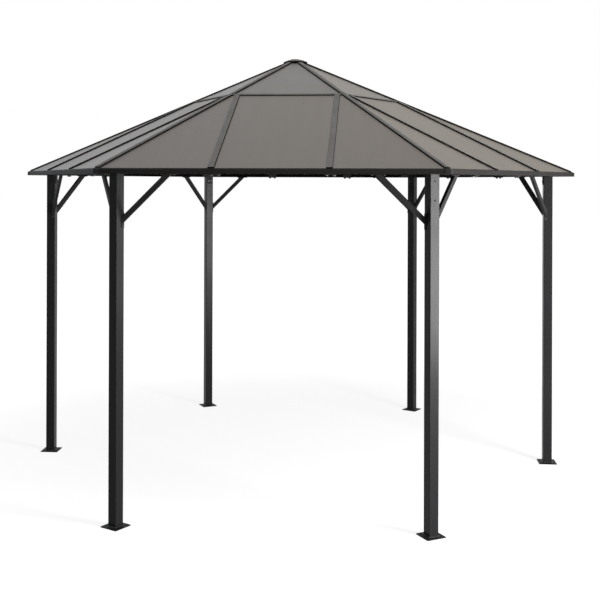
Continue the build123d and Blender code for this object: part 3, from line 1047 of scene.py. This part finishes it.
@dataclass(frozen=True)
class Stand(Assembly):
    """The posts with their plates, braces and head brackets.

    Args:
        flange_edge: From a brace flange's end to its screw.
        flange_gap: Height above a flange from which a screw is set down.
        tongue_fall: From the beams' underside down to the screws of a bracket's tongue.
        tongue_half: Half the distance between those screws.
        wing_rises: Heights of a wing's screws above the beam's underside.
        wing_edge: From a wing's free end to its screws.
        bolt_head: Diameter of the bolt on a post's outer face.
        bolt_fall: From the beams' underside down to that bolt.
        plug_fall: From the beams' underside down to the plug below it.
    """

    flange_edge: float = 0.011
    flange_gap: float = 0.008
    tongue_fall: float = 0.036
    tongue_half: float = 0.012
    wing_rises: tuple[float, ...] = (0.014, 0.042)
    wing_edge: float = 0.016
    bolt_head: float = 0.014
    bolt_fall: float = 0.040
    plug_fall: float = 0.155

    def dress(self) -> None:
        """Puts the charcoal coats on the posts, plates, braces and brackets."""
        for name in POSTS:
            self.wardrobe.dress(POST_COAT, f"post_{name}")
            self.wardrobe.dress(PLATE_COAT, f"base_plate_{name}")
            self.wardrobe.dress(BRACE_COAT, f"knee_braces_{name}")
        self.wardrobe.dress(BRACE_COAT, "head_brackets")

    def build(self) -> None:
        """Adds the welds, screws, bolts and plugs."""
        weld = FootWeld(WELD_COAT, post=self.layout.post_width)
        bolt = flush_screw(POST_COAT, self.bolt_head)
        for name, slot, fixing, places in (
            ("foot_welds", Slot.POST, weld, self.foot_places()),
            ("flange_screws", Slot.BRACE, PAN_SCREW, self.flange_places()),
            ("bracket_screws", Slot.BRACE, PAN_SCREW, self.bracket_places()),
            ("post_head_bolts", Slot.POST, bolt, self.head_places(self.bolt_fall)),
            ("post_plugs", Slot.POST, DOME_PLUG, self.head_places(self.plug_fall)),
        ):
            fixing.set_out(name, slot, places, self.wardrobe)

    def foot_places(self) -> Iterator[Matrix]:
        """Finds the place of each post's foot."""
        for plate in map(self.layout.plate, range(SIDES)):
            yield plate.matrix()

    def head_places(self, fall: float) -> Iterator[Matrix]:
        """Finds a place on each post's outer face.

        Args:
            fall: From the beams' underside down to the place.

        Yields:
            The places.
        """
        height = self.layout.beam_underside - fall
        for index, name in enumerate(POSTS):
            yield self.survey.rest(f"post_{name}", self.layout.post(index), 0.0, height)

    def flange_places(self) -> Iterator[Matrix]:
        """Finds two places on each flange of the knee braces.

        Yields:
            The places.
        """
        reach = self.layout.post_width / 2 + self.flange_gap
        for index, name in enumerate(POSTS):
            node = f"knee_braces_{name}"
            for side in (PostFace.LEFT, PostFace.RIGHT):
                face = self.layout.post(index, side)
                low, high = self.survey.extent(face, node, keep=self.on_post)
                for height in (low.y + self.flange_edge, high.y - self.flange_edge):
                    yield self.survey.rest(node, face, (low.x + high.x) / 2, height, reach)
            for under in map(self.layout.beam_underneath, (index, index - 1)):
                low, high = self.survey.extent(under, node, keep=self.on_beam)
                middle = (low.y + high.y) / 2
                for along in (low.x + self.flange_edge, high.x - self.flange_edge):
                    yield self.survey.rest(node, under, along, middle, self.flange_gap)

    def on_post(self, point: Vector) -> bool:
        """Tells whether a local point lies in the post face that the seat looks to."""
        return abs(point.z - self.layout.post_width / 2) < TOLERANCE

    def on_beam(self, point: Vector) -> bool:
        """Tells whether a local point lies on the underside of the seat's own beam."""
        return abs(point.z) < TOLERANCE and abs(point.y) < self.layout.post_width / 2

    def bracket_places(self) -> Iterator[Matrix]:
        """Finds the places on each head bracket's tongue and wings.

        Yields:
            The places.
        """
        node = "head_brackets"
        height = self.layout.beam_underside - self.tongue_fall
        for index in range(SIDES):
            inner = self.layout.post(index, PostFace.INNER)
            for along in (self.tongue_half, -self.tongue_half):
                yield self.survey.rest(node, inner, along, height)
            inside = self.layout.beam_inside(index)
            wing_low, _ = self.survey.extent(inside, node, STEP / 2, keep=in_plus_half)
            reach = wing_low.x + self.wing_edge
            for along in (reach, -reach):
                for rise in self.wing_rises:
                    yield self.survey.rest(node, inside, along, rise)


@dataclass(frozen=True)
class RoofFrame(Assembly):
    """The ring beams, rafters, purlins, hub and saddles.

    Args:
        bolt_half: Half the distance between a saddle's bolts.
    """

    bolt_half: float = 0.022

    def dress(self) -> None:
        """Puts the charcoal coats on the rafters and saddles, and a darker coat of painted shade on
        the beams.
        """
        self.wardrobe.dress(PAINTED_SHADE_BEAM_COAT, *BEAMS)
        self.wardrobe.dress(RAFTER_COAT, "hip_rafters", "jack_rafters", "purlins", "apex_hub")
        self.wardrobe.dress(BRACE_COAT, "rafter_saddles")

    def build(self) -> None:
        """Adds the bolts under the saddles."""
        HEX_BOLT.set_out("saddle_bolts", Slot.BRACE, self.saddle_places(), self.wardrobe)

    def saddle_places(self) -> Iterator[Matrix]:
        """Finds two places under each saddle.

        Yields:
            The places.
        """
        for under in map(self.layout.beam_underneath, range(SIDES)):
            for half in BOTH_HALVES:
                low, high = self.survey.extent(under, "rafter_saddles", STEP / 2, keep=half)
                middle = (low.x + high.x) / 2
                for along in (middle - self.bolt_half, middle + self.bolt_half):
                    yield self.survey.rest("rafter_saddles", under, along, 0.0)


@dataclass(frozen=True)
class RoofCover(Assembly):
    """The sheets with their battens, caps and eave trims.

    Args:
        end_margin: From a batten's end to its first screw.
        ridge_margin: From a hip cap's upper end, under the apex cap, to its last screws.
        seam_screws: Screws on a seam batten.
        hip_screws: Screws on each flank of a hip cap.
        strip_screws: Screws on a joint strip.
        flank: From a hip's ridge to the screws on its flanks.
        corner_edge: From an eave's corner to the screw in its cap.
        corner_fall: From the sheets' edge down to that screw.
        apex_reach: From the middle of the roof out to the apex cap's screws.
    """

    end_margin: float = 0.07
    ridge_margin: float = 0.14
    seam_screws: int = 5
    hip_screws: int = 7
    strip_screws: int = 4
    flank: float = 0.011
    corner_edge: float = 0.018
    corner_fall: float = 0.011
    apex_reach: float = 0.066

    def dress(self) -> None:
        """Puts the sheets' finish and the coats of the trims on."""
        low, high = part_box("joint_strips")
        for index, (name, node) in enumerate(zip(FACES, SHEETS)):
            sheet = replace(
                SHEET,
                name=f"{SHEET.name}_{name}",
                heading=(index + MID_SIDE) * STEP,
                upper_height=(low.z, high.z),
            )
            self.wardrobe.dress(sheet, node)
            self.wardrobe.dress(TRIM_COAT, f"eave_trim_{name}")
        self.wardrobe.dress(BATTEN_COAT, "hip_caps", "seam_battens", "joint_strips", "apex_cap")
        self.wardrobe.dress(CORNER_PLASTIC, "eave_corner_caps")

    def build(self) -> None:
        """Adds the screws."""
        screw = flush_screw(BATTEN_COAT)
        corner_screw = flush_screw(CORNER_PLASTIC)
        for name, slot, fixing, places in (
            ("seam_batten_screws", Slot.BATTEN, screw, self.seam_places()),
            ("joint_strip_screws", Slot.BATTEN, screw, self.strip_places()),
            ("hip_cap_screws", Slot.BATTEN, screw, self.hip_places()),
            ("apex_cap_screws", Slot.BATTEN, screw, self.apex_places()),
            ("corner_cap_screws", Slot.CORNER, corner_screw, self.corner_places()),
        ):
            fixing.set_out(name, slot, places, self.wardrobe)

    def seam_places(self) -> Iterator[Matrix]:
        """Finds the places down the middle of each seam batten.

        Yields:
            The places.
        """
        for face in map(self.layout.face, range(SIDES)):
            for half in BOTH_HALVES:
                low, high = self.survey.extent(face, "seam_battens", STEP / 2, keep=half)
                first, last = low.y + self.end_margin, high.y - self.end_margin
                for up in spaced(first, last, self.seam_screws):
                    yield self.survey.rest("seam_battens", face, (low.x + high.x) / 2, up)

    def strip_places(self) -> Iterator[Matrix]:
        """Finds the places along each joint strip.

        Yields:
            The places.
        """
        for face in map(self.layout.face, range(SIDES)):
            low, high = self.survey.extent(face, "joint_strips", STEP / 2)
            first, last = low.x + self.end_margin, high.x - self.end_margin
            for along in spaced(first, last, self.strip_screws):
                yield self.survey.rest("joint_strips", face, along, (low.y + high.y) / 2)

    def hip_places(self) -> Iterator[Matrix]:
        """Finds the places on both flanks of each hip cap.

        Yields:
            The places.
        """
        for hip in map(self.layout.hip, range(SIDES)):
            low, high = self.survey.extent(hip, "hip_caps", STEP / 2)
            first, last = low.y + self.end_margin, high.y - self.ridge_margin
            for along in (self.flank, -self.flank):
                for up in spaced(first, last, self.hip_screws):
                    yield self.survey.rest("hip_caps", hip, along, up)

    def corner_places(self) -> Iterator[Matrix]:
        """Finds a place on each wing of the corner caps.

        Yields:
            The places.
        """
        reach = self.layout.eave_apothem * math.tan(STEP / 2) - self.corner_edge
        for fascia in map(self.layout.fascia, range(SIDES)):
            for along in (reach, -reach):
                yield self.survey.rest("eave_corner_caps", fascia, along, -self.corner_fall)

    def apex_places(self) -> Iterator[Matrix]:
        """Finds a place on each slope of the apex cap.

        Yields:
            The places.
        """
        up = (self.layout.eave_apothem - self.apex_reach) / math.cos(self.layout.pitch)
        for face in map(self.layout.face, range(SIDES)):
            yield self.survey.rest("apex_cap", face, 0.0, up)


# Camera and studio


@dataclass(frozen=True)
class PhotoCamera:
    """The camera at the photograph's viewpoint.

    Args:
        place: Where it stands.
        heading: Turn to the left from looking along +Y.
        roll: Its small tilt about the line of sight.
        lens: Focal length in millimetres on the default sensor.
        drop: Shift of the frame below the horizon, as a share of the frame.
    """

    place: Vector = Vector((0.6286, -7.579, 2.0934))
    heading: float = 0.0778
    roll: float = -0.0031
    lens: float = 59.505
    drop: float = 0.1952

    def build(self) -> None:
        """Makes the camera and hands it to the scene."""
        data = bpy.data.cameras.new("photo_camera")
        data.lens = self.lens
        data.shift_y = -self.drop
        camera = bpy.data.objects.new("photo_camera", data)
        camera.location = self.place
        camera.rotation_euler = (QUARTER, self.roll, self.heading)
        bpy.context.scene.collection.objects.link(camera)
        bpy.context.scene.camera = camera


@dataclass(frozen=True)
class Softbox:
    """A large soft lamp.

    Args:
        name: The lamp's name.
        place: Where its middle is.
        target: Where it looks.
        width: Its width.
        height: Its height.
        radiance: Its brightness, where 1 is white.
        gloss_only: Whether it is a card that shows in gloss and gives no other light.
        keeps_off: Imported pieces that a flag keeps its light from.
    """

    name: str
    place: Vector
    target: Vector
    width: float
    height: float
    radiance: float
    gloss_only: bool = False
    keeps_off: tuple[str, ...] = ()

    def build(self) -> None:
        """Hangs the lamp, out of the camera's sight."""
        data = bpy.data.lights.new(self.name, "AREA")
        data.shape = "RECTANGLE"
        data.size = self.width
        data.size_y = self.height
        data.energy = self.radiance * math.pi * self.width * self.height
        lamp = bpy.data.objects.new(self.name, data)
        lamp.location = self.place
        lamp.rotation_euler = (self.target - self.place).to_track_quat("-Z", "Y").to_euler()
        lamp.visible_camera = False
        lamp.visible_diffuse = not self.gloss_only
        if self.keeps_off:
            lamp.light_linking.receiver_collection = self.flag()
        bpy.context.scene.collection.objects.link(lamp)

    def flag(self) -> bpy.types.Collection:
        """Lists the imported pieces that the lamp's light is kept from.

        Returns:
            A collection that leaves them out.
        """
        collection = bpy.data.collections.new(f"{self.name}_flag")
        for node in self.keeps_off:
            collection.objects.link(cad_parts[node])
        for entry in collection.collection_objects:
            entry.light_linking.link_state = "EXCLUDE"
        return collection


SOFTBOXES = (
    Softbox(
        "right_softbox",
        Vector((4.2, -3.35, 1.4)),
        Vector((0.9, -1.6, 1.4)),
        width=1.4,
        height=1.85,
        radiance=46.0,
        keeps_off=SHEETS + BEAMS,
    ),
    Softbox(
        "side_card",
        Vector((5.2, 0.0, 1.4)),
        Vector((-0.9, -1.6, 1.4)),
        width=2.0,
        height=1.8,
        radiance=6.0,
        gloss_only=True,
    ),
    Softbox(
        "top_softbox",
        Vector((0.5, -1.8, 8.5)),
        Vector((0.0, 0.0, 2.5)),
        width=7.0,
        height=7.0,
        radiance=1.5,
    ),
)


@dataclass(frozen=True)
class Studio:
    """A white studio with a pale floor that keeps the gazebo's shadow.

    Args:
        fill: Brightness of the surroundings as a light.
        cool_side: Colour of the surroundings in gloss on the left.
        warm_side: Colour of the surroundings in gloss on the right.
        tint_span: Sideways part of the directions between which they blend.
        floor_size: Edge length of the floor.
        floor_glow: What the camera sees of the floor without light.
        floor_colour: What the floor adds where light falls on it.
        floor_bounce: How much of the light the floor gives back to the gazebo.
        glow_start: Where the glow starts to grow to white, from the middle.
        glow_end: Where it is white.
        softboxes: The lamps.
    """

    fill: float = 0.12
    cool_side: Colour = (0.92, 0.97, 1.025)
    warm_side: Colour = (1.03, 0.99, 0.90)
    tint_span: tuple[float, float] = (-0.4, 0.3)
    floor_size: float = 120.0
    floor_glow: float = 0.86
    floor_colour: float = 0.34
    floor_bounce: float = 0.4
    glow_start: float = 2.4
    glow_end: float = 5.0
    softboxes: tuple[Softbox, ...] = SOFTBOXES

    def build(self) -> None:
        """Sets the view transform, the surroundings, the floor and the lamps."""
        bpy.context.scene.view_settings.view_transform = "Standard"
        self.light_world()
        self.lay_floor()
        for softbox in self.softboxes:
            softbox.build()

    @staticmethod
    def seen(graph: Graph) -> Socket:
        """Gives one for rays from the camera, from gloss and through glass.

        Args:
            graph: The graph to add to.

        Returns:
            The output with the mask.
        """
        path = graph.add("LightPath").outputs
        shiny = graph.math("MAXIMUM", path["Is Glossy Ray"], path["Is Transmission Ray"])
        return graph.math("MAXIMUM", path["Is Camera Ray"], shiny)

    def light_world(self) -> None:
        """Makes white surroundings, tinted in gloss, that light the gazebo only by the fill."""
        world = bpy.data.worlds.new("white_studio")
        world.use_nodes = True
        graph = Graph(world.node_tree)
        sideways = graph.part(graph.add("TexCoord").outputs["Generated"], "X")
        side = graph.spread(sideways, self.tint_span, NONE_TO_ALL)
        tint = graph.blend(side, self.cool_side, self.warm_side)
        gloss = graph.add("LightPath").outputs["Is Glossy Ray"]
        colour = graph.blend(gloss, WHITE, tint)
        strength = graph.math("MULTIPLY_ADD", self.seen(graph), 1.0 - self.fill, self.fill)
        background = graph.add("Background", Color=colour, Strength=strength)
        graph.add("OutputWorld", Surface=background.outputs[0])
        bpy.context.scene.world = world

    def lay_floor(self) -> None:
        """Lays the floor just under the base plates."""
        material = bpy.data.materials.new("pale_floor")
        material.use_nodes = True
        graph = Graph(material.node_tree)
        plain = graph.add("BsdfDiffuse", Color=(self.floor_bounce,) * 3)
        lit = graph.add("BsdfDiffuse", Color=(self.floor_colour,) * 3)
        place = graph.add("TexCoord").outputs["Object"]
        distance = graph.add("VectorMath", operation="LENGTH", Vector=place).outputs["Value"]
        ring = (self.glow_start, self.glow_end)
        brightness = graph.spread(distance, ring, (self.floor_glow, 1.0))
        glow = graph.add("Emission", Strength=brightness)
        shown = graph.add("AddShader")
        mixed = graph.add("MixShader", Fac=self.seen(graph))
        for node, shaders in ((shown, (lit, glow)), (mixed, (plain, shown))):
            for shader, target in zip(shaders, node.inputs[-2:]):
                graph.feed(shader.outputs[0], target)
        graph.add("OutputMaterial", Surface=mixed.outputs[0])
        bpy.ops.object.select_all(action="DESELECT")
        bpy.ops.mesh.primitive_plane_add(size=self.floor_size, location=(0, 0, -TOLERANCE))
        floor = bpy.context.object
        floor.name = "studio_floor"
        floor.data.materials.append(material)


def main() -> None:
    """Builds the camera, the studio and the looks of every sub-assembly."""
    logging.basicConfig(level=logging.INFO, format="%(name)s: %(message)s")
    layout = Layout.read()
    LOG.info("layout %s", layout)
    PhotoCamera().build()
    Studio().build()
    survey = Survey()
    wardrobe = Wardrobe()
    for assembly in (Stand, RoofFrame, RoofCover):
        made = assembly(layout, survey, wardrobe)
        made.dress()
        made.build()


if __name__ == "__main__":
    main()
